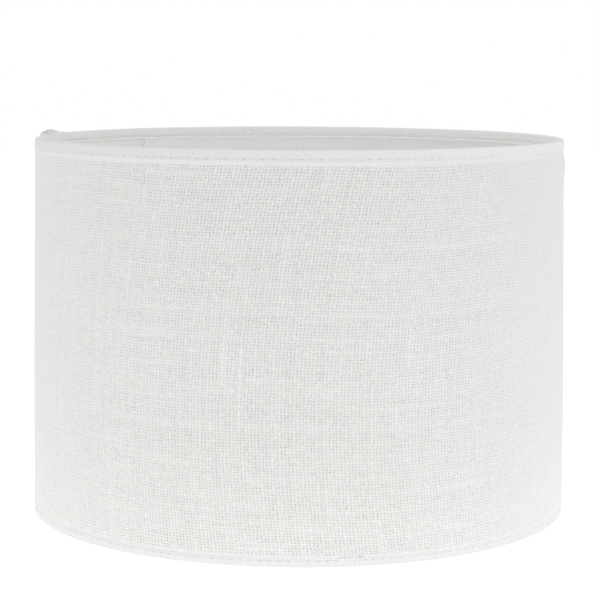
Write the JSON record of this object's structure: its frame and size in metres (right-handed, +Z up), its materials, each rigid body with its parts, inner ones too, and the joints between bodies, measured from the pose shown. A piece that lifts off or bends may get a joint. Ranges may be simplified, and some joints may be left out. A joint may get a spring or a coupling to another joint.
{
  "type": "lamp shade",
  "caption": "Drum lamp shade: linen cover on a stiff liner, sewn tape over wire rims, and a wire fitter low inside with a hub for a threaded lampholder.",
  "frame": {"origin": "centre of the circle that the bottom rim stands on", "axes": "+Z up the shade's axis from the bottom rim to the top rim; one fitter arm points along +Y, the back of the shade; -Y faces the front"},
  "size_m": [0.3, 0.3, 0.2088],
  "materials": {
    "linen": "matte woven, undyed white",
    "liner": "matte translucent white sheet",
    "tape": "smooth woven tape, white",
    "thread": "spun polyester, white",
    "wire": "white powder coat, satin",
    "hub": "white powder coat, satin",
    "glue": "clear adhesive strip"
  },
  "bodies": {
    "root": {"linen_cover": "linen", "liner_sheet": "liner", "seam_glue_strip": "glue", "top_ring": "wire", "bottom_ring": "wire", "top_binding": "tape", "bottom_binding": "tape", "top_needle_thread": "thread", "top_bobbin_thread": "thread", "bottom_needle_thread": "thread", "bottom_bobbin_thread": "thread", "fitter_hub": "hub", "fitter_arm_1": "wire", "fitter_arm_2": "wire", "fitter_arm_3": "wire"}
  },
  "joints": []
}
